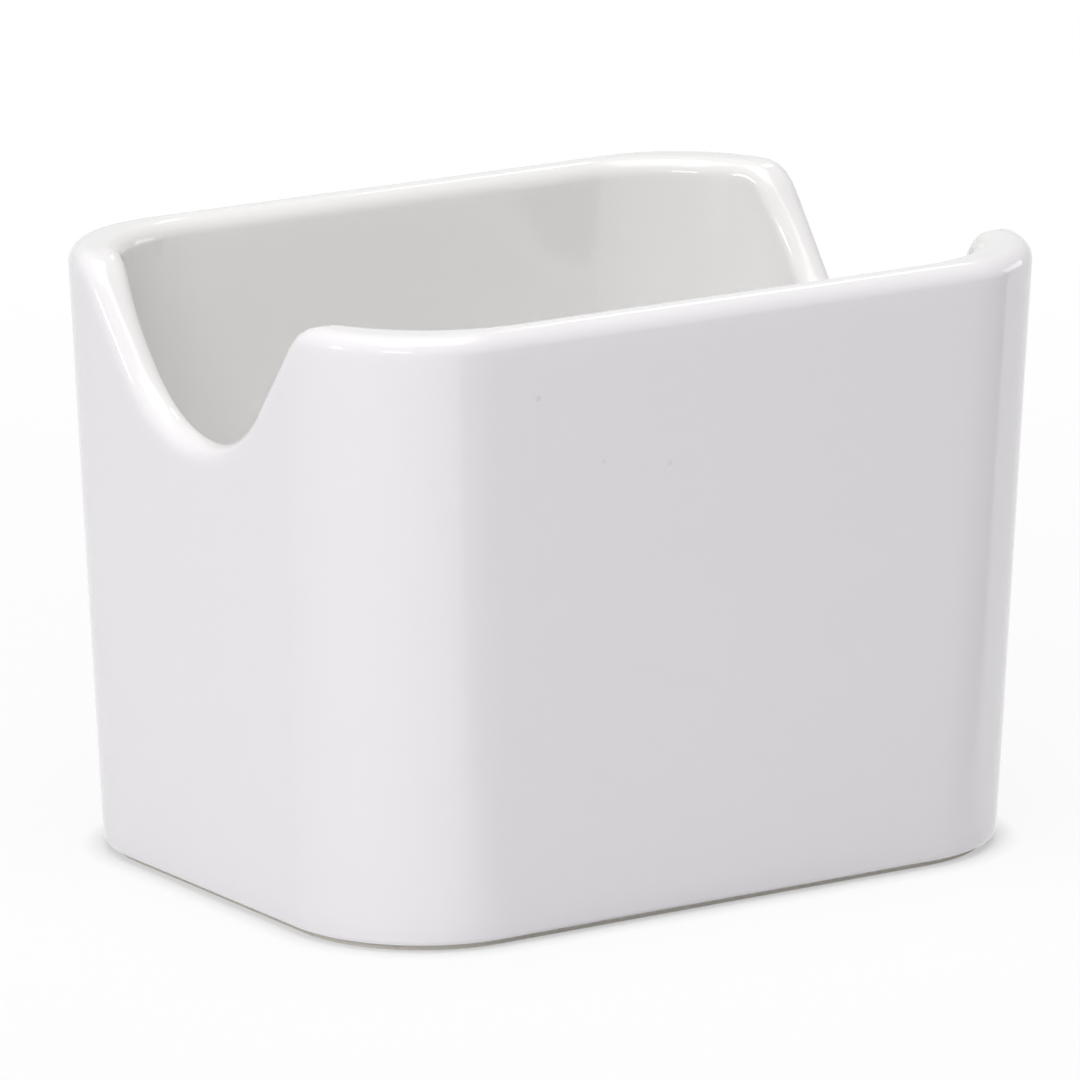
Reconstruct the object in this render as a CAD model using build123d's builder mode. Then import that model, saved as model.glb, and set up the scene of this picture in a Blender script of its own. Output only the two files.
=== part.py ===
"""Sugar packet holder: an open china caddy with a scooped finger notch in each end.

The caddy is cast and fired in one piece, then coated with white glaze. The clay stands on a
bare foot ring, which parts the glaze into the coat that shows and a field on the underside.
X runs along the caddy, Z is up, and the origin is on the table under its middle.
"""
import os
from math import cos, radians, sin, tan

from build123d import *

# Outside, in millimetres and degrees, measured over the glaze
rim_length = 92.0
rim_width = 70.6
overall_height = 66.4
corner_radius = 16.0
wall_draft = 2.1
base_edge_bevel = 0.8

# Hollow, whose walls stand parallel to the outside and thicken at the upright corners
wall_thickness = 4.3
hollow_corner_radius = 16.0
floor_thickness = 5.0
floor_edge_bevel = 3.0

# Notch in each end, and the narrow flat left along the top of the rounded lip
notch_depth = 16.6
notch_bottom_radius = 15.3
notch_flank_angle = 51.7
notch_shoulder_radius = 5.1
lip_flat = 0.2

# Foot ring and underside
foot_height = 0.7
foot_setback = 0.6
foot_width = 4.0
recess_shelf = 1.2
recess_depth = 1.2

glaze_thickness = 0.3

# The clay's lip is fettled to a bevel, this share of the radius that the glaze rounds it to
fettle_share = 0.65

# The notch is drawn up past the rim by this much
trim_allowance = 4.0

# Slope, as the upward share of a face's normal, below which a face counts as a wall and above
# which it counts as level
wall_slope = 0.2
level_slope = 0.9

# Distances in from the foot of the wall
ring_outside = base_edge_bevel + foot_setback
ring_inside = ring_outside + foot_width
recess_edge = ring_inside + recess_shelf


def slope(face):
    """How far a face turns upwards or downwards: 0 for an upright face, 1 for a level one."""
    return abs(face.normal_at().Z)


def drafted_block(top, bottom, inset, radius):
    """Block with drafted walls and rounded corners, drawn in from the outside by the inset."""
    drawn_in = inset + (overall_height - top) * tan(radians(wall_draft))
    with BuildPart() as block:
        with BuildSketch(Plane.XY.offset(top)):
            Rectangle(rim_length - 2 * drawn_in, rim_width - 2 * drawn_in)
        extrude(amount=bottom - top)
        walls = block.faces().filter_by(lambda face: slope(face) < wall_slope)
        draft(walls, Plane.XY.offset(top), -wall_draft)
        level_edges = block.edges().filter_by(GeomType.LINE).filter_by(Plane.XY)
        fillet(block.edges() - level_edges, radius)
    return block.part


def foot_outline(inset, mode=Mode.ADD):
    """Outline of the foot of the outside wall, with every side drawn in by the inset."""
    drawn_in = inset + (overall_height - foot_height) * tan(radians(wall_draft))
    RectangleRounded(
        rim_length - 2 * drawn_in, rim_width - 2 * drawn_in, corner_radius - inset, mode=mode
    )


def notch(end, inset):
    """Face of the notch on the wall of one end, let out by the inset and open past the rim."""
    drafted = radians(wall_draft)
    flank = radians(notch_flank_angle)
    end_wall = Plane(
        origin=(end * rim_length / 2, 0, overall_height),
        x_dir=(0, end, 0),
        z_dir=(end * cos(drafted), 0, -sin(drafted)),
    )
    centre = notch_bottom_radius - notch_depth
    radius = notch_bottom_radius + inset
    foot = (radius * sin(flank), centre - radius * cos(flank))
    head = (foot[0] + (trim_allowance - foot[1]) / tan(flank), trim_allowance)
    with BuildSketch(end_wall) as outline:
        with BuildLine():
            RadiusArc((0, centre - radius), foot, -radius)
            Polyline(foot, head, (0, trim_allowance))
            mirror(about=Plane.YZ)
        make_face()
    return outline.sketch


def caddy(inset, finish_lip):
    """The caddy above its foot ring, with every surface drawn in by the inset."""
    rim = overall_height - inset
    underside = foot_height + inset
    hollow_floor = foot_height + floor_thickness - inset
    hollow_radius = hollow_corner_radius + inset

    # Inside, a bevel leads the floor up into the walls, so that crumbs don't lodge there
    with BuildPart() as hollow:
        add(drafted_block(rim, hollow_floor, wall_thickness - inset, hollow_radius))
        chamfer(hollow.faces().sort_by(Axis.Z)[0].edges(), floor_edge_bevel)

    with BuildPart() as form:
        add(drafted_block(rim, underside, inset, corner_radius - inset))
        chamfer(form.faces().sort_by(Axis.Z)[0].edges(), base_edge_bevel)
        add(hollow.part, mode=Mode.SUBTRACT)

        # The flanks of both notches turn over into the rim
        for end in (-1, 1):
            extrude(notch(end, inset), amount=2 * wall_thickness, both=True, mode=Mode.SUBTRACT)
        flanks = form.faces().filter_by(GeomType.PLANE).filter_by(
            lambda face: wall_slope < slope(face) < level_slope
        ).filter_by_position(Axis.Z, rim - notch_depth, rim)
        rim_faces = form.faces().filter_by(Axis.Z).group_by(Axis.Z)[-1]
        fillet(rim_faces.edges() & flanks.edges(), notch_shoulder_radius - inset)

        # The lip is rounded over, all along the rim and down through both notches
        walls = form.faces().filter_by(lambda face: slope(face) < wall_slope)
        lip = form.faces().filter_by(lambda face: slope(face) > wall_slope).filter_by_position(
            Axis.Z, rim - notch_depth, rim
        )
        finish_lip(lip.edges() & walls.edges(), (wall_thickness - lip_flat) / 2)

        # Underneath, the middle is set up out of the way of the table
        with BuildSketch(Plane.XY.offset(underside)):
            foot_outline(recess_edge - inset)
        extrude(amount=recess_depth, mode=Mode.SUBTRACT)
    return form.part


def rounded(lip_edges, radius):
    """Round the lip over as the fired glaze does."""
    fillet(lip_edges, radius)


def fettled(lip_edges, radius):
    """Bevel the clay's lip inside the rounding that the glaze gives it."""
    chamfer(lip_edges, fettle_share * (radius - glaze_thickness))


# Fired clay, with the bare foot ring that carries it
with BuildPart() as china_body:
    add(caddy(glaze_thickness, fettled))
    with BuildSketch(Plane.XY):
        foot_outline(ring_outside)
        foot_outline(ring_inside, mode=Mode.SUBTRACT)
    extrude(amount=foot_height + glaze_thickness)
china_body.part.label = "china_body"

# All the glaze: the finished form less the clay
with BuildPart() as glaze:
    add(caddy(0, rounded))
    add(china_body.part, mode=Mode.SUBTRACT)
glaze_fields = glaze.solids().sort_by(SortBy.VOLUME)

with BuildPart() as glaze_coat:
    add(glaze_fields[-1])
glaze_coat.part.label = "glaze_coat"

with BuildPart() as underside_glaze:
    add(glaze_fields[0])
underside_glaze.part.label = "underside_glaze"

os.makedirs("parts", exist_ok=True)
export_step(china_body.part, "parts/china_body.step")
export_step(glaze_coat.part, "parts/glaze_coat.step")
export_step(underside_glaze.part, "parts/underside_glaze.step")
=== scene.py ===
"""Dresses a china sugar packet holder: its glaze, its bare clay foot and a plain studio stage."""
from collections import namedtuple
from math import cos, pi, radians, sin, tan

import bpy
from mathutils import Matrix, Vector


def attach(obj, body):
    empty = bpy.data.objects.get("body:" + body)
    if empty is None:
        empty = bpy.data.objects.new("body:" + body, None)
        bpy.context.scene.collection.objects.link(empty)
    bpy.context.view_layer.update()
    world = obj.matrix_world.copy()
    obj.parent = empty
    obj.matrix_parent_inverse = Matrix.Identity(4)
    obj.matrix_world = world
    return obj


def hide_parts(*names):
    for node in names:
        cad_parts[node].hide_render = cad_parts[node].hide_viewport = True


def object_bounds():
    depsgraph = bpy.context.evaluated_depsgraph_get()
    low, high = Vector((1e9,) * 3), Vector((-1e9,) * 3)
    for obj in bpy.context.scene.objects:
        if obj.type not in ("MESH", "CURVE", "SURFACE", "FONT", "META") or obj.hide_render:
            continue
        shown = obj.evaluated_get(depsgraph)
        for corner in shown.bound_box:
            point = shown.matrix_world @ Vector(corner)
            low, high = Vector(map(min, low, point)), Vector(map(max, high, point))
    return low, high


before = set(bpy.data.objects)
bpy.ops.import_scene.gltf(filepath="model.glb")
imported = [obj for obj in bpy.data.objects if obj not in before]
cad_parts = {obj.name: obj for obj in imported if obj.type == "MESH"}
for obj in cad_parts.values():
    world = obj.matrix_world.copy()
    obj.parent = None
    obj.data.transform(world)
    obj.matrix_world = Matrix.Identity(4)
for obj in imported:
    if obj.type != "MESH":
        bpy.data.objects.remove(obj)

bl_info = {
    "name": "China packet caddy",
    "version": (1, 0, 0),
    "blender": (4, 5, 0),
    "location": "3D View > Sidebar > Caddy",
    "description": "Glaze, clay foot and studio stage for a china sugar packet holder",
    "category": "Object",
}

cad_low, cad_high = [Vector(corner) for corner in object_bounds()]
MM = 0.001

# How many faces the glaze skin has round one quarter of the caddy: half an end, a corner, half a side
END_STEPS = 44
CORNER_STEPS = 32
SIDE_STEPS = 20
QUARTER_STEPS = END_STEPS + CORNER_STEPS + SIDE_STEPS

# Faces of the skin's profile, from the foot ring up the outside, over the lip and down to the floor
PROFILE_STEPS = {
    "underside": 2,
    "base_edge": 5,
    "outside": 28,
    "lip_outside": 8,
    "lip_top": 2,
    "lip_inside": 8,
    "inside": 24,
    "cove": 8,
    "floor": 6,
}

# The lip's height and its place across an end depend on each other, and settle in this many rounds
LIP_ROUNDS = 2

# Points of the skin that are closer than this become one, and the skin is then made this thick
WELD_DISTANCE = 0.002 * MM
GLAZE_DEPTH = 0.2 * MM

# How strongly the glaze pools in the upright corners inside, which also paints shade there, and the share
# of it that the floor loses
NOOK_POOLING_AND_SHADE = 1.4
FLOOR_DRAINING = 0.7

# Even noise lies round this value, and a speck is solid out to this share of its radius
NOISE_MIDDLE = 0.5
SPECK_CORE = 0.4

# How strongly each trait of the glaze tints it; thin glaze varies between two strengths
# Pooled glaze is darker, so pooling also paints the shade of the cove and the upright corners inside
POOL_AND_SHADE_TINT = 0.75
DRIFT_TINT = 0.35
THIN_TINT = (0.35, 0.75)
PINHOLE_TINT = 0.3
PINHOLE_COLOUR = (0.52, 0.49, 0.45)

# What each trait adds to the glaze's roughness, and its share of the height of the ripples
DRIFT_ROUGHNESS = 0.05
THIN_ROUGHNESS = 0.03
PINHOLE_ROUGHNESS = 0.25
BROAD_RIPPLE = 0.6
FINE_RIPPLE = 0.4
PINHOLE_DEPTH = 0.8

# The same for the bare clay: its fine grain, its patches and its coarser grains
GRAIN_TINT = 0.35
PATCH_TINT = 0.2
COARSE_TINT = 0.5
GRAIN_ROUGHNESS = 0.2
COARSE_DEPTH = 0.5

# Where each lamp stands, in degrees round from the front and up, and its size in metres. A lamp that
# is out of the gloss lights the caddy but isn't reflected in it.
Lamp = namedtuple("Lamp", "azimuth elevation width height in_gloss")
LAMPS = {
    "key": Lamp(-46.0, 22.0, 0.36, 0.08, True),
    "side": Lamp(-92.0, 20.0, 0.14, 0.12, True),
    "top": Lamp(-20.0, 82.0, 0.9, 0.9, True),
    "back": Lamp(122.0, 48.0, 0.12, 0.12, True),
    "right": Lamp(85.0, 8.0, 0.5, 0.2, True),
    "rear": Lamp(176.0, 12.0, 0.6, 0.2, False),
    "fill": Lamp(-50.0, 44.0, 1.0, 0.9, False),
}
LAMP_DISTANCE = 1.0
LAMP_AIM_HEIGHT = 40.0 * MM

# Over this stretch of the way from left to right, the sky goes from its left level to its right one
SKY_FADE = (-0.4, 0.8)

# The part of the floor that shows a painted shade in the gloss, a dim glow in place of the lit floor: its
# soft left edge, and its soft edge along the front of the caddy, which slants away to the right
DIM_LEFT_EDGE = (-36.0 * MM, -20.0 * MM)
DIM_NEAR_EDGE = (22.0 * MM, 34.0 * MM)
DIM_SLANT = 0.2

# The floor fades to plain white over this distance from the middle, and reaches this far to each side
WHITE_FADE = (90.0 * MM, 300.0 * MM)
FLOOR_REACH = 3.0


def length_property(name, description, default):
    """A size in metres that shows as a length."""
    return bpy.props.FloatProperty(
        name=name, description=description, default=default, min=0.0, precision=5,
        subtype="DISTANCE", unit="LENGTH",
    )


def angle_property(name, description, degrees):
    """An angle that shows in degrees."""
    return bpy.props.FloatProperty(
        name=name, description=description, default=radians(degrees), subtype="ANGLE", unit="ROTATION"
    )


def colour_property(name, description, default):
    """A colour in linear light."""
    return bpy.props.FloatVectorProperty(
        name=name, description=description, default=default, size=3, min=0.0, max=1.0, subtype="COLOR"
    )


def share_property(name, description, default):
    """A number from nothing to one."""
    return bpy.props.FloatProperty(
        name=name, description=description, default=default, min=0.0, max=1.0, subtype="FACTOR"
    )


def power_property(name, description, default):
    """A lamp's power."""
    return bpy.props.FloatProperty(
        name=name, description=description, default=default, min=0.0, unit="POWER"
    )


class CaddySizes(bpy.types.PropertyGroup):
    """Sizes of the glazed caddy: those of its solids, with finer edges at the base and the floor"""

    rim_length: length_property("Rim length", "Length over the rim, before the lip turns", 92.0 * MM)
    rim_width: length_property("Rim width", "Width over the rim, before the lip turns", 70.6 * MM)
    height: length_property("Height", "Height of the rim above the table", cad_high.z - cad_low.z)
    corner_radius: length_property("Corner radius", "Outside of the upright corners", 16.0 * MM)
    draft: angle_property("Draft", "Lean of the walls, inwards to the foot", 2.1)
    wall: length_property("Wall", "Thickness of the walls", 4.3 * MM)
    hollow_radius: length_property("Hollow radius", "Inside of the upright corners", 16.0 * MM)
    lip_flat: length_property("Lip flat", "Flat along the top of the rounded lip", 0.2 * MM)
    floor_height: length_property("Floor height", "Height of the floor inside", 5.7 * MM)
    cove_radius: length_property("Cove radius", "Rounding from the floor to the walls", 5.0 * MM)
    base_height: length_property("Base height", "Height of the underside over the table", 0.7 * MM)
    base_edge: length_property("Base edge", "Rounding of the edge round the base", 0.7 * MM)
    foot_setback: length_property("Foot setback", "Foot ring's distance in from the walls", 1.4 * MM)
    notch_depth: length_property("Notch depth", "Depth of each finger notch below the rim", 16.6 * MM)
    notch_radius: length_property("Notch radius", "Radius of each notch's bottom", 15.3 * MM)
    notch_flank: angle_property("Notch flank", "Slope of the notch's straight flanks", 51.7)
    shoulder_radius: length_property("Shoulder radius", "Turn from flank to rim", 5.1 * MM)
    waver: length_property("Waver", "Slight unevenness left by casting and firing", 0.07 * MM)


class GlazeFinish(bpy.types.PropertyGroup):
    """Colours and gloss of the glaze and the bare clay"""

    glaze_colour: colour_property("Glaze", "Colour of the white glaze", (0.868, 0.843, 0.875))
    # The inside glaze is lighter than the outside: partly a real tint of the glaze, partly painted light
    # on the inside
    inside_tint_and_light_colour: colour_property("Glaze inside", "Where it was poured in", (0.882, 0.872, 0.866))
    # Pooled glaze is partly real and partly painted shade: darker in the cove and the upright corners
    # inside
    pooled_and_shaded_colour: colour_property("Pooled glaze", "Where the glaze lies thick", (0.815, 0.81, 0.79))
    thin_colour: colour_property("Thin glaze", "Where the glaze has run off the lip", (0.88, 0.87, 0.86))
    glaze_roughness: share_property("Glaze roughness", "Roughness of the fired gloss", 0.06)
    clay_colour: colour_property("Bare clay", "Colour of the unglazed foot ring", (0.82, 0.79, 0.73))
    grain_colour: colour_property("Clay grain", "Colour of the coarser grains", (0.66, 0.61, 0.53))
    clay_roughness: share_property("Clay roughness", "Roughness of the bare clay", 0.82)


class StageSettings(bpy.types.PropertyGroup):
    """Camera, lamps and floor of the studio"""

    camera_azimuth: angle_property("Camera azimuth", "How far the camera stands round to the left", -33.70)
    camera_elevation: angle_property("Camera elevation", "How far the camera looks down", 13.75)
    camera_distance: length_property("Camera distance", "From the camera to the caddy", 1.14274)
    camera_lens: bpy.props.FloatProperty(
        name="Lens", description="Focal length over a 36 mm sensor", default=353.95, unit="CAMERA"
    )
    target_side: bpy.props.FloatProperty(
        name="Target side", description="Aim point, to the right of the middle", default=-1.11 * MM,
        precision=5, unit="LENGTH",
    )
    target_height: length_property("Target height", "Aim point over the table", 33.32 * MM)
    floor_colour: colour_property("Floor", "Colour of the floor", (0.84, 0.84, 0.84))
    floor_white: share_property("Floor white", "How much of the floor shows as plain white", 0.87)
    foot_white: share_property("White at the foot", "How much does so right beside the foot", 0.4)
    shade_reach: length_property("Shade reach", "How far the shade at the foot reaches", 2.5 * MM)
    sky_level: share_property("Sky level", "Even light from above and the left", 0.45)
    sky_right: share_property("Sky on the right", "Even light from the right", 0.27)
    key_power: power_property("Key power", "Strip lamp in front, on the left", 0.95)
    side_power: power_property("Side power", "Small lamp on the left", 0.8)
    top_power: power_property("Top power", "Soft lamp overhead", 5.9)
    back_power: power_property("Back power", "Small lamp behind, on the right", 0.28)
    right_power: power_property("Right power", "Low lamp on the right", 0.6)
    rear_power: power_property("Rear power", "Low lamp behind", 0.7)
    fill_power: power_property("Fill power", "Broad lamp high on the left", 2.5)
    # Painted shade: the dim glow of the table in front, seen only in the gloss
    front_level: share_property("Front level", "Brightness of the table in front, in the gloss", 0.05)


class Wire:
    """An output socket of a node tree. Arithmetic on it adds the Math nodes that work it out."""

    def __init__(self, socket):
        self.socket = socket

    @staticmethod
    def add_node(tree, kind, settings=None, inputs=None, output=0):
        """Add a node, set it up, fill its sockets with values or wires, and give one output."""
        node = tree.nodes.new(kind)
        for name, value in (settings or {}).items():
            setattr(node, name, value)
        for place, value in (inputs or {}).items():
            if isinstance(value, Wire):
                tree.links.new(value.socket, node.inputs[place])
            else:
                node.inputs[place].default_value = value
        return Wire(node.outputs[output])

    def then(self, kind, settings=None, inputs=None, output=0):
        """Add a node to this wire's own tree."""
        return Wire.add_node(self.socket.id_data, kind, settings, inputs, output)

    def beside(self, output):
        """Another output of the node that this wire comes from."""
        return Wire(self.socket.node.outputs[output])

    def maths(self, operation, *others, clamp=False):
        """Add a Math node whose first value is this wire."""
        values = dict(enumerate((self,) + others))
        return self.then("ShaderNodeMath", {"operation": operation, "use_clamp": clamp}, values)

    def __add__(self, other):
        return self.maths("ADD", other)

    def __radd__(self, other):
        return self.maths("ADD", other)

    def __sub__(self, other):
        return self.maths("SUBTRACT", other)

    def __rsub__(self, other):
        return self.then("ShaderNodeMath", {"operation": "SUBTRACT"}, {0: other, 1: self})

    def __mul__(self, other):
        return self.maths("MULTIPLY", other)

    def __rmul__(self, other):
        return self.maths("MULTIPLY", other)

    def __truediv__(self, other):
        return self.maths("DIVIDE", other)

    def __rtruediv__(self, other):
        return self.then("ShaderNodeMath", {"operation": "DIVIDE"}, {0: other, 1: self})

    def __neg__(self):
        return self.maths("MULTIPLY", -1.0)

    def sine(self):
        return self.maths("SINE")

    def cosine(self):
        return self.maths("COSINE")

    def root(self):
        return self.maths("SQRT")

    def least(self, other):
        return self.maths("MINIMUM", other)

    def most(self, other):
        return self.maths("MAXIMUM", other)

    def between(self, start, end):
        """How far this wire has gone from start to end, held at 0 before and 1 after."""
        return (self - start).maths("DIVIDE", end - start, clamp=True)

    def blend(self, first, second):
        """The number that lies this share of the way from the first to the second."""
        return self * (second - first) + first


def mix_colours(share, first, second):
    """The colour that lies this share of the way from the first to the second."""
    def full(colour):
        return colour if isinstance(colour, Wire) else (*colour, 1.0)

    return share.then(
        "ShaderNodeMix", {"data_type": "RGBA"}, {0: share, 6: full(first), 7: full(second)}, 2
    )


# The glaze skin, whose inputs are all the sizes of the caddy and the glaze itself

SKIN_SIZES = tuple(CaddySizes.__annotations__)


def skyline(across, size, lip):
    """Height of the middle of the lip's roll at a place across an end, and the way that it faces.

    The roll follows a line that lies one lip radius inside the top: an arc at the notch's bottom,
    a straight flank that touches it, an arc at the shoulder and then the level rim.
    """
    flank_sine = size["notch_flank"].sine()
    flank_cosine = size["notch_flank"].cosine()
    flank_slope = flank_sine / flank_cosine
    bottom = size["notch_radius"] + lip
    shoulder = size["shoulder_radius"] - lip
    bottom_centre = size["height"] - size["notch_depth"] + size["notch_radius"]
    flank_rise = size["notch_depth"] - size["notch_radius"] * (1.0 - flank_cosine)
    half_turn = (1.0 - flank_cosine) / flank_sine
    shoulder_place = (
        size["notch_radius"] * flank_sine
        + flank_rise / flank_slope
        + size["shoulder_radius"] * half_turn
    )
    flank_start = bottom * flank_sine
    flank_end = shoulder_place - shoulder * flank_sine
    bottom_sine = (across / bottom).least(flank_sine)
    shoulder_sine = ((shoulder_place - across) / shoulder).most(0.0).least(flank_sine)
    bottom_cosine = (1.0 - bottom_sine * bottom_sine).root()
    shoulder_cosine = (1.0 - shoulder_sine * shoulder_sine).root()
    along_flank = across.most(flank_start).least(flank_end) - flank_start
    height = (
        bottom_centre
        - bottom * bottom_cosine
        + along_flank * flank_slope
        + shoulder * (shoulder_cosine - flank_cosine)
    )
    return height, bottom_sine.least(shoulder_sine)


def new_skin_tree():
    """An empty tree with an input for each size and the glaze, and wires from those inputs."""
    tree = bpy.data.node_groups.new("Glaze skin", "GeometryNodeTree")
    tree.is_modifier = True
    for name in SKIN_SIZES:
        title = CaddySizes.bl_rna.properties[name].name
        tree.interface.new_socket(title, in_out="INPUT", socket_type="NodeSocketFloat")
    tree.interface.new_socket("Glaze", in_out="INPUT", socket_type="NodeSocketMaterial")
    tree.interface.new_socket("Geometry", in_out="OUTPUT", socket_type="NodeSocketGeometry")
    group_input = tree.nodes.new("NodeGroupInput")
    size = {name: Wire(group_input.outputs[place]) for place, name in enumerate(SKIN_SIZES)}
    glaze = Wire(group_input.outputs[len(SKIN_SIZES)])
    return tree, size, glaze


def wavered(skin, amount):
    """Push the skin in and out a little, in the slow waver that cast ware has."""
    place = skin.then("GeometryNodeInputPosition")
    normal = skin.then("GeometryNodeInputNormal")
    swell = skin.then(
        "ShaderNodeTexNoise", {"noise_dimensions": "3D"},
        {"Vector": place, "Scale": 34.0, "Detail": 1.0, "Roughness": 0.4},
    )
    push = normal.then(
        "ShaderNodeVectorMath", {"operation": "SCALE"},
        {0: normal, "Scale": (swell - NOISE_MIDDLE) * amount * 2.0},
    )
    return skin.then("GeometryNodeSetPosition", None, {"Geometry": skin, "Offset": push})


def glaze_skin_tree():
    """Geometry nodes that lay a sheet of faces over the whole glazed surface."""
    tree, size, glaze = new_skin_tree()

    # A flat sheet, one face thick, that is about to be wrapped round the caddy
    steps_up = sum(PROFILE_STEPS.values())
    sheet = Wire.add_node(
        tree, "GeometryNodeMeshGrid", None,
        {0: 1.0, 1: 1.0, 2: 4 * QUARTER_STEPS + 1, 3: steps_up + 1},
    )
    place = Wire.add_node(tree, "GeometryNodeInputPosition")
    sheet_x = place.then("ShaderNodeSeparateXYZ", None, {0: place})
    sheet_y = sheet_x.beside(1)
    turn = sheet_x + 0.5
    row = (sheet_y + 0.5) * float(steps_up)

    # Progress along each stretch of the profile
    progress = {}
    first = 0
    for stretch, steps in PROFILE_STEPS.items():
        progress[stretch] = row.between(float(first), float(first + steps))
        first += steps

    # Place round the caddy: from the middle of an end through the corner to the middle of a side
    quarter = (turn * 4.0).maths("PINGPONG", 1.0)
    corner_start = END_STEPS / QUARTER_STEPS
    corner_end = (END_STEPS + CORNER_STEPS) / QUARTER_STEPS
    side_share = quarter.between(0.0, corner_start)
    corner_angle = quarter.between(corner_start, corner_end) * (pi / 2)
    end_share = 1.0 - quarter.between(corner_end, 1.0)
    faces_x = corner_angle.cosine()
    faces_y = corner_angle.sine()
    sign_x = (turn * (2 * pi)).cosine().maths("SIGN")
    sign_y = (turn * (2 * pi)).sine().maths("SIGN")

    lean_rate = size["draft"].maths("TANGENT")

    def lean(height):
        """How far the wall has leaned in from the rim, at a height."""
        return (size["height"] - height) * lean_rate

    def outline(inset, radius):
        """Where a rounded oblong, drawn in from the rim by the inset, passes this place."""
        along = end_share * (size["rim_length"] * 0.5 - inset - radius) + radius * faces_x
        across = side_share * (size["rim_width"] * 0.5 - inset - radius) + radius * faces_y
        return along, across

    # How thick the wall is here, straight in from the outside: the hollow's corners are centred
    # further in than the outside ones, so the wall thickens as it comes up to a corner
    outer_radius = size["corner_radius"]
    hollow_radius = size["hollow_radius"]
    centre_shift = size["wall"] + hollow_radius - outer_radius
    run_along = (1.0 - end_share) * (size["rim_length"] * 0.5 - outer_radius)
    run_across = (1.0 - side_share) * (size["rim_width"] * 0.5 - outer_radius)
    off_centre = centre_shift * (faces_x - faces_y).maths("ABSOLUTE") - run_along - run_across
    off_centre = off_centre.most(0.0)
    wall = (
        centre_shift * (faces_x + faces_y)
        + outer_radius
        - (hollow_radius * hollow_radius - off_centre * off_centre).root()
    )

    # The lip is rounded along both faces of the wall. Each rounding's middle follows the notch,
    # at a height that depends on the place across the end, which shifts a little with the height
    lip = (size["wall"] - size["lip_flat"]) * 0.5

    def lip_line(depth, height):
        """Height and lean of the roll whose middle lies this deep in the wall, near a height."""
        across = outline(lean(height), outer_radius)[1] - depth * faces_y
        return skyline(across, size, lip)

    outer_lip = size["height"] - lip
    for _ in range(LIP_ROUNDS):
        outer_lip, outer_sine = lip_line(lip, outer_lip)
    inner_lip, inner_sine = lip_line(wall - lip, outer_lip)

    def standing(sine):
        """The way that the lip's roll stands up from the wall, square to the wall's face."""
        length = (1.0 - (sine * faces_y) * (sine * faces_y)).root()
        cosine = (1.0 - sine * sine).root()
        return sine * faces_y * faces_x / length, -(sine * faces_x * faces_x) / length, cosine / length

    # Outside, from the foot ring round the base edge and up the wall
    edge = size["base_edge"]
    edge_angle = progress["base_edge"] * (pi / 2)
    edge_top = size["base_height"] + edge
    outer_height = (
        size["base_height"]
        + edge * (1.0 - edge_angle.cosine())
        + progress["outside"] * (outer_lip - edge_top)
    )
    outer_inset = (size["foot_setback"] - edge) * (1.0 - progress["underside"]) + edge * (
        1.0 - edge_angle.sine()
    )
    outer_x, outer_y = outline(lean(outer_height) + outer_inset, outer_radius - outer_inset)

    # Inside, down the wall, round the cove and in over the floor
    cove = size["cove_radius"]
    cove_angle = progress["cove"] * (pi / 2)
    cove_top = size["floor_height"] + cove
    inner_height = (
        inner_lip - progress["inside"] * (inner_lip - cove_top) - cove * cove_angle.sine()
    )
    inner_depth = wall + cove * (1.0 - cove_angle.cosine())
    inner_x, inner_y = outline(lean(inner_height), outer_radius)
    inward = 1.0 - progress["floor"]
    inner_x = (inner_x - inner_depth * faces_x) * inward
    inner_y = (inner_y - inner_depth * faces_y) * inward

    # Over the lip, a quarter turn up from the outside, the flat and a quarter turn down inside
    rise = progress["lip_outside"] * (pi / 2)
    fall = progress["lip_inside"] * (pi / 2)
    outer_back = lip * (1.0 - rise.cosine())
    outer_stand = lip * rise.sine()
    inner_back = lip * (1.0 - fall.sine())
    inner_stand = lip * fall.cosine()
    outer_way = standing(outer_sine)
    inner_way = standing(inner_sine)
    outer_spot = (
        outer_x - outer_back * faces_x + outer_stand * outer_way[0],
        outer_y - outer_back * faces_y + outer_stand * outer_way[1],
        outer_height + outer_stand * outer_way[2],
    )
    inner_spot = (
        inner_x + inner_back * faces_x + inner_stand * inner_way[0],
        inner_y + inner_back * faces_y + inner_stand * inner_way[1],
        inner_height + inner_stand * inner_way[2],
    )
    spot = [progress["lip_top"].blend(*pair) for pair in zip(outer_spot, inner_spot)]
    wrapped = place.then(
        "ShaderNodeCombineXYZ", None, {0: sign_x * spot[0], 1: sign_y * spot[1], 2: spot[2]}
    )

    # How thick the glaze lies: thin on the lip, pooled in the cove and the upright corners inside, where
    # the darker pooled glaze also paints shade.
    # These are read off the flat sheet, so they are kept on the skin before it is wrapped.
    nook_pool_and_shade = faces_x * faces_y * NOOK_POOLING_AND_SHADE * progress["lip_inside"]
    amounts = {
        "glaze_pool": progress["cove"].most(nook_pool_and_shade) * (1.0 - progress["floor"] * FLOOR_DRAINING),
        "glaze_thin": rise.sine() * fall.cosine(),
        "glaze_inside": progress["lip_top"],
    }
    skin = sheet
    for name, amount in amounts.items():
        skin = skin.then(
            "GeometryNodeStoreNamedAttribute",
            {"data_type": "FLOAT", "domain": "POINT"},
            {"Geometry": skin, "Name": name, "Value": amount},
        )
    skin = skin.then("GeometryNodeSetPosition", None, {"Geometry": skin, "Position": wrapped})
    skin = skin.then("GeometryNodeMergeByDistance", None, {"Geometry": skin, "Distance": WELD_DISTANCE})
    skin = wavered(skin, size["waver"])
    skin = skin.then("GeometryNodeSetShadeSmooth", None, {"Geometry": skin})
    skin = skin.then("GeometryNodeRealizeInstances", None, {"Geometry": skin})
    skin = skin.then("GeometryNodeSetMaterial", None, {"Geometry": skin, "Material": glaze})
    output = tree.nodes.new("NodeGroupOutput")
    tree.links.new(skin.socket, output.inputs[0])
    return tree


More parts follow.
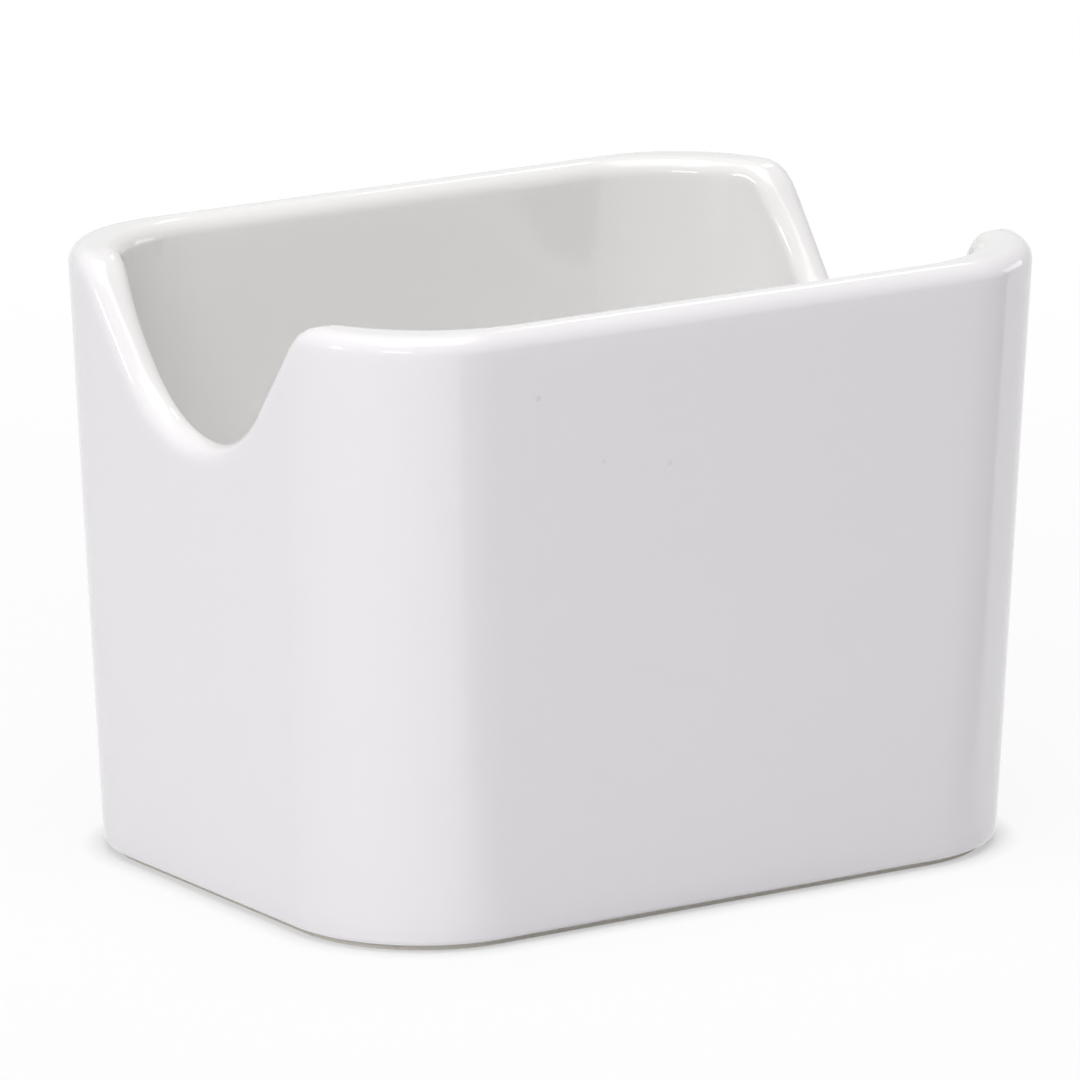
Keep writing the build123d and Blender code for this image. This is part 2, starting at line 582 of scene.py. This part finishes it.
def plain_mesh(piece):
    """Turn a piece and its modifiers into a plain mesh."""
    depsgraph = bpy.context.evaluated_depsgraph_get()
    made = bpy.data.meshes.new_from_object(piece.evaluated_get(depsgraph))
    piece.modifiers.clear()
    piece.data = made
    made.name = piece.name


# Finishes

def new_material(name):
    """A material with a shader linked to its output, the shader, and the place on the piece."""
    material = bpy.data.materials.new(name)
    material.use_nodes = True
    tree = material.node_tree
    tree.nodes.clear()
    output = tree.nodes.new("ShaderNodeOutputMaterial")
    shader = tree.nodes.new("ShaderNodeBsdfPrincipled")
    tree.links.new(shader.outputs[0], output.inputs["Surface"])
    place = Wire.add_node(tree, "ShaderNodeTexCoord", None, None, "Object")
    return material, shader, place


def feed(shader, **wires):
    """Link wires to a shader's sockets, named as the sockets are with _ for a space."""
    for name, wire in wires.items():
        socket = shader.inputs[name.replace("_", " ")]
        wire.socket.id_data.links.new(wire.socket, socket)


def noise(place, scale, detail, roughness=0.5):
    """Even noise from 0 to 1 over the piece."""
    return place.then(
        "ShaderNodeTexNoise", None,
        {"Vector": place, "Scale": scale, "Detail": detail, "Roughness": roughness},
    )


def specks(place, scale, radius, share):
    """Small round specks: 1 at the middle of each, for a share of the cells of a loose grid."""
    cells = place.then(
        "ShaderNodeTexVoronoi", {"feature": "F1"}, {"Vector": place, "Scale": scale}
    )
    chance = cells.then("ShaderNodeSeparateColor", None, {0: cells.beside("Color")})
    chosen = chance.maths("LESS_THAN", share)
    return (1.0 - cells.between(radius * SPECK_CORE, radius)) * chosen


def glaze_material(finish):
    """White gloss glaze, a little creamier and darker where it pools, which also paints shade in the cove
    and the upright corners inside, lighter inside, which paints light there, with a soft ripple and a few
    pinholes.
    """
    material, shader, place = new_material("white_glaze")
    pool_and_shade, thin, inside = [
        place.then("ShaderNodeAttribute", {"attribute_name": name}, None, "Fac")
        for name in ("glaze_pool", "glaze_thin", "glaze_inside")
    ]
    drift = noise(place, scale=22.0, detail=3.0) - NOISE_MIDDLE
    cloud = noise(place, scale=75.0, detail=2.0)
    pinholes = specks(place, scale=240.0, radius=0.1, share=0.035)
    # Pooling darkens the glaze in the cove and the upright corners inside: partly real pooled glaze,
    # partly painted shade
    pooled_and_shaded = (pool_and_shade * POOL_AND_SHADE_TINT + drift * DRIFT_TINT).most(0.0)
    # Painted light: the inside glaze is lighter, partly because of its real tint
    colour = mix_colours(inside, finish.glaze_colour, finish.inside_tint_and_light_colour)
    colour = mix_colours(pooled_and_shaded, colour, finish.pooled_and_shaded_colour)
    colour = mix_colours(thin * cloud.blend(*THIN_TINT), colour, finish.thin_colour)
    colour = mix_colours(pinholes * PINHOLE_TINT, colour, PINHOLE_COLOUR)
    roughness = (
        finish.glaze_roughness
        + drift * DRIFT_ROUGHNESS
        + thin * THIN_ROUGHNESS
        + pinholes * PINHOLE_ROUGHNESS
    )
    ripple = (
        noise(place, scale=150.0, detail=2.0) * BROAD_RIPPLE
        + noise(place, scale=420.0, detail=1.0) * FINE_RIPPLE
        - pinholes * PINHOLE_DEPTH
    )
    bump = place.then(
        "ShaderNodeBump", None, {"Strength": 0.05, "Distance": 0.6 * MM, "Height": ripple}
    )
    feed(shader, Base_Color=colour, Roughness=roughness, Normal=bump)
    shader.inputs["IOR"].default_value = 1.5
    return material


def clay_material(finish):
    """Bare fired clay, ground flat: fine grain, a few darker grains and a dry matt surface."""
    material, shader, place = new_material("bare_china")
    grain = noise(place, scale=2600.0, detail=3.0, roughness=0.7)
    patches = noise(place, scale=120.0, detail=3.0)
    coarse = specks(place, scale=900.0, radius=0.45, share=0.16)
    colour = mix_colours(
        grain * GRAIN_TINT + patches * PATCH_TINT, finish.clay_colour, finish.grain_colour
    )
    colour = mix_colours(coarse * COARSE_TINT, colour, finish.grain_colour)
    roughness = finish.clay_roughness + (grain - NOISE_MIDDLE) * GRAIN_ROUGHNESS
    height = grain - coarse * COARSE_DEPTH
    bump = place.then(
        "ShaderNodeBump", None, {"Strength": 0.35, "Distance": 0.2 * MM, "Height": height}
    )
    feed(shader, Base_Color=colour, Roughness=roughness, Normal=bump)
    return material


def viewing_rays(tree):
    """Whether a ray sees the background as white, and whether it is a reflection in a gloss."""
    camera = Wire.add_node(tree, "ShaderNodeLightPath", None, None, "Is Camera Ray")
    glossy = camera.beside("Is Glossy Ray")
    clear = camera.beside("Is Transmission Ray")
    return camera.most(glossy).most(clear), glossy


def floor_material(stage, sizes):
    """Pale matt floor that shows white, with the caddy's shade left on it close to the foot."""
    material, shader, place = new_material("studio_floor")
    shader.inputs["Base Color"].default_value = (*stage.floor_colour, 1.0)
    shader.inputs["Roughness"].default_value = 0.9
    shader.inputs["Specular IOR Level"].default_value = 0.0
    tree = material.node_tree
    white = Wire.add_node(tree, "ShaderNodeEmission", None, {"Strength": 1.0})
    dim = Wire.add_node(tree, "ShaderNodeEmission", None, {"Strength": stage.front_level})
    seen, glossy = viewing_rays(tree)

    # The gloss of the long side shows the table in front of it as painted shade: a dim glow in place of
    # the lit floor
    along = place.then("ShaderNodeSeparateXYZ", None, {0: place})
    towards = -along.beside(1)
    painted_shade_in_front = along.between(*DIM_LEFT_EDGE) * (towards - DIM_SLANT * along).between(*DIM_NEAR_EDGE)
    glow = seen.then("ShaderNodeMixShader", None, {0: glossy * painted_shade_in_front, 1: white, 2: dim})

    # The floor keeps its shade close to the foot and a little further out, and fades to plain white
    radius = sizes.corner_radius
    drawn_in = (sizes.height - sizes.base_height) * tan(sizes.draft) + radius
    past_end = (along.maths("ABSOLUTE") - (sizes.rim_length / 2 - drawn_in)).most(0.0)
    past_side = (towards.maths("ABSOLUTE") - (sizes.rim_width / 2 - drawn_in)).most(0.0)
    off_foot = (past_end * past_end + past_side * past_side).root() - radius
    white_share = off_foot.between(0.0, stage.shade_reach).blend(stage.foot_white, stage.floor_white)
    reach = place.then("ShaderNodeVectorMath", {"operation": "LENGTH"}, {0: place}, "Value")
    share = glossy.most(reach.between(*WHITE_FADE).blend(white_share, 1.0))
    mixed = seen.then(
        "ShaderNodeMixShader", None, {0: seen * share, 1: Wire(shader.outputs[0]), 2: glow}
    )
    output = next(node for node in tree.nodes if node.type == "OUTPUT_MATERIAL")
    tree.links.new(mixed.socket, output.inputs["Surface"])
    return material


def studio_world(stage):
    """Even sky that is dimmer on the right, and shows white."""
    world = bpy.data.worlds.new("studio")
    world.use_nodes = True
    tree = world.node_tree
    tree.nodes.clear()
    left, right, white = [
        Wire.add_node(tree, "ShaderNodeBackground", None, {"Strength": level})
        for level in (stage.sky_level, stage.sky_right, 1.0)
    ]
    towards = Wire.add_node(tree, "ShaderNodeTexCoord", None, None, "Generated")
    rightward = towards.then("ShaderNodeSeparateXYZ", None, {0: towards}).between(*SKY_FADE)
    sky = rightward.then("ShaderNodeMixShader", None, {0: rightward, 1: left, 2: right})
    seen = viewing_rays(tree)[0]
    mixed = seen.then("ShaderNodeMixShader", None, {0: seen, 1: sky, 2: white})
    output = tree.nodes.new("ShaderNodeOutputWorld")
    tree.links.new(mixed.socket, output.inputs["Surface"])
    return world


# Operators

class CADDY_OT_glaze(bpy.types.Operator):
    """Lay the glaze over the caddy, inside and out"""

    bl_idname = "caddy.glaze"
    bl_label = "Glaze"
    bl_options = {"REGISTER", "UNDO"}

    def execute(self, context):
        sizes = context.scene.caddy_sizes
        material = glaze_material(context.scene.caddy_finish)
        piece = bpy.data.objects.new("glaze_skin", bpy.data.meshes.new("glaze_skin"))
        context.scene.collection.objects.link(piece)
        tree = glaze_skin_tree()
        modifier = piece.modifiers.new("Glaze skin", "NODES")
        modifier.node_group = tree
        inputs = [item for item in tree.interface.items_tree if item.in_out == "INPUT"]
        for item, name in zip(inputs, SKIN_SIZES):
            modifier[item.identifier] = getattr(sizes, name)
        modifier[inputs[-1].identifier] = material
        depth = piece.modifiers.new("Glaze depth", "SOLIDIFY")
        depth.thickness = GLAZE_DEPTH
        depth.offset = -1.0
        plain_mesh(piece)
        if not piece.data.polygons:
            raise RuntimeError("the glaze skin came out empty")
        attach(piece, "root")
        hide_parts("glaze_coat")
        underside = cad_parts["underside_glaze"]
        underside.data.materials.clear()
        underside.data.materials.append(material)
        return {"FINISHED"}


class CADDY_OT_clay(bpy.types.Operator):
    """Give the bare clay of the foot ring its matt finish"""

    bl_idname = "caddy.clay"
    bl_label = "Bare clay"
    bl_options = {"REGISTER", "UNDO"}

    def execute(self, context):
        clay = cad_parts["china_body"]
        clay.data.materials.clear()
        clay.data.materials.append(clay_material(context.scene.caddy_finish))
        return {"FINISHED"}


def bearing(azimuth, elevation):
    """The way to a place that lies this far round from the front and this far up."""
    return Vector((sin(azimuth) * cos(elevation), -cos(azimuth) * cos(elevation), sin(elevation)))


def add_lamp(context, name, lamp, power):
    """A soft lamp that looks at the caddy from its bearing."""
    light = bpy.data.lights.new(name, "AREA")
    light.shape = "RECTANGLE"
    light.size = lamp.width
    light.size_y = lamp.height
    light.energy = power
    towards = bearing(radians(lamp.azimuth), radians(lamp.elevation))
    holder = bpy.data.objects.new(name, light)
    holder.location = Vector((0.0, 0.0, LAMP_AIM_HEIGHT)) + towards * LAMP_DISTANCE
    holder.rotation_euler = towards.to_track_quat("Z", "Y").to_euler()
    holder.visible_glossy = lamp.in_gloss
    context.scene.collection.objects.link(holder)


class CADDY_OT_stage(bpy.types.Operator):
    """Set up the floor, the soft lamps and the camera"""

    bl_idname = "caddy.stage"
    bl_label = "Studio stage"
    bl_options = {"REGISTER", "UNDO"}

    def execute(self, context):
        stage = context.scene.caddy_stage
        self.add_floor(context, stage)
        context.scene.world = studio_world(stage)
        for name, lamp in LAMPS.items():
            add_lamp(context, f"{name}_lamp", lamp, getattr(stage, f"{name}_power"))
        self.add_camera(context, stage)
        context.scene.view_settings.view_transform = "Standard"
        return {"FINISHED"}

    def add_floor(self, context, stage):
        """A flat floor, level with the foot ring."""
        mesh = bpy.data.meshes.new("studio_floor")
        ways = ((-1, -1), (1, -1), (1, 1), (-1, 1))
        corners = [(x * FLOOR_REACH, y * FLOOR_REACH, 0.0) for x, y in ways]
        mesh.from_pydata(corners, [], [(0, 1, 2, 3)])
        mesh.materials.append(floor_material(stage, context.scene.caddy_sizes))
        floor = bpy.data.objects.new("studio_floor", mesh)
        context.scene.collection.objects.link(floor)

    def add_camera(self, context, stage):
        """A long lens that looks at the caddy from its front left."""
        back = bearing(stage.camera_azimuth, stage.camera_elevation)
        right = Vector((cos(stage.camera_azimuth), sin(stage.camera_azimuth), 0.0))
        up = back.cross(right)
        target = right * stage.target_side + Vector((0.0, 0.0, stage.target_height))
        camera = bpy.data.cameras.new("camera")
        camera.sensor_width = 36.0
        camera.lens = stage.camera_lens
        camera.clip_start = 0.05
        camera.clip_end = 20.0
        holder = bpy.data.objects.new("camera", camera)
        turn = Matrix((right, up, back)).transposed().to_4x4()
        holder.matrix_world = Matrix.Translation(target + back * stage.camera_distance) @ turn
        context.scene.collection.objects.link(holder)
        context.scene.camera = holder


class CADDY_PT_sidebar(bpy.types.Panel):
    """Sizes, finishes and steps of the caddy"""

    bl_idname = "CADDY_PT_sidebar"
    bl_label = "China packet caddy"
    bl_space_type = "VIEW_3D"
    bl_region_type = "UI"
    bl_category = "Caddy"

    def draw(self, context):
        layout = self.layout
        scene = context.scene
        for group in (scene.caddy_sizes, scene.caddy_finish, scene.caddy_stage):
            box = layout.box()
            for name in group.__annotations__:
                box.prop(group, name)
        for operator in (CADDY_OT_glaze, CADDY_OT_clay, CADDY_OT_stage):
            layout.operator(operator.bl_idname)


CLASSES = (
    CaddySizes, GlazeFinish, StageSettings,
    CADDY_OT_glaze, CADDY_OT_clay, CADDY_OT_stage, CADDY_PT_sidebar,
)


def register():
    """Add the caddy's classes and settings to Blender."""
    for cls in CLASSES:
        bpy.utils.register_class(cls)
    bpy.types.Scene.caddy_sizes = bpy.props.PointerProperty(type=CaddySizes)
    bpy.types.Scene.caddy_finish = bpy.props.PointerProperty(type=GlazeFinish)
    bpy.types.Scene.caddy_stage = bpy.props.PointerProperty(type=StageSettings)


def unregister():
    """Take the caddy's settings and classes out again."""
    del bpy.types.Scene.caddy_stage
    del bpy.types.Scene.caddy_finish
    del bpy.types.Scene.caddy_sizes
    for cls in reversed(CLASSES):
        bpy.utils.unregister_class(cls)


def main():
    """Dress the caddy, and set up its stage."""
    register()
    bpy.ops.caddy.glaze()
    bpy.ops.caddy.clay()
    bpy.ops.caddy.stage()
    bpy.context.view_layer.update()


if __name__ == "__main__":
    main()
